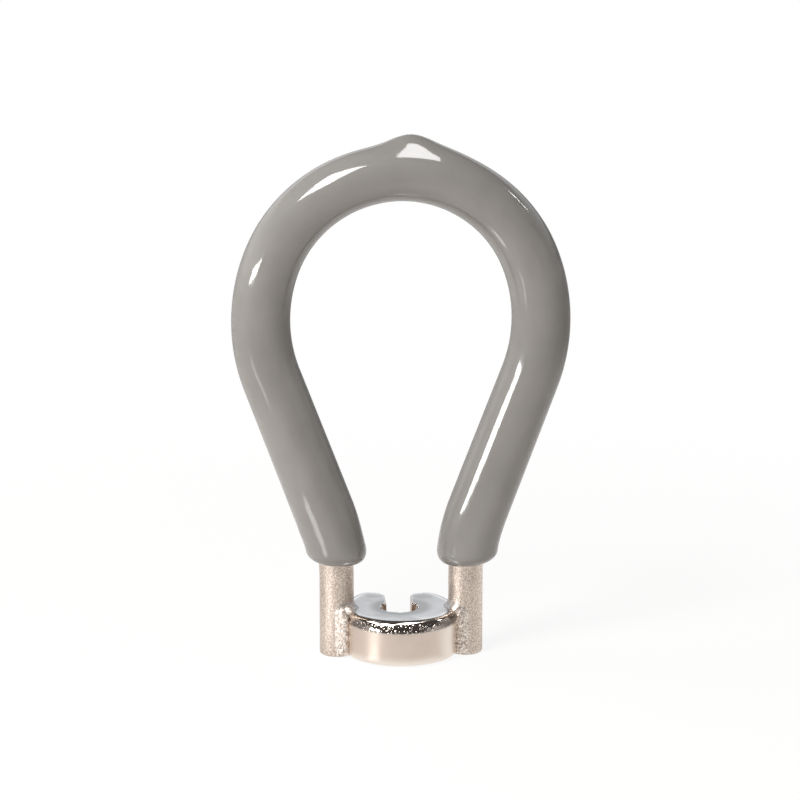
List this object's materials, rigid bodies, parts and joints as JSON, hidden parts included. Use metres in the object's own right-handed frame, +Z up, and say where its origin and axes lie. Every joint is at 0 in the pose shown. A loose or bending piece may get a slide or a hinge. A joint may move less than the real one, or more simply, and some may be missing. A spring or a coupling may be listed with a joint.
{
  "type": "spoke wrench",
  "caption": "Loop-handled spoke wrench: a bent rod brazed to a slotted round head with a splined nipple socket, its loop dipped in grey vinyl.",
  "frame": {"origin": "on the socket's axis, at the head's flat bottom face, level with the feet of the legs", "axes": "+Z up the handle along the socket's axis, X across the loop from leg to leg, +Y out of the head's mouth"},
  "size_m": [0.0462, 0.0153, 0.0733],
  "materials": {
    "blasted_nickel": "bead-blasted nickel plate on steel",
    "satin_nickel": "satin nickel plate on steel",
    "braze_nickel": "coarse blasted nickel plate on braze",
    "grey_vinyl": "glossy dipped vinyl"
  },
  "bodies": {
    "root": {"handle_rod": "blasted_nickel", "nipple_head": "satin_nickel", "left_braze": "braze_nickel", "right_braze": "braze_nickel", "vinyl_grip": "grey_vinyl"}
  },
  "joints": []
}
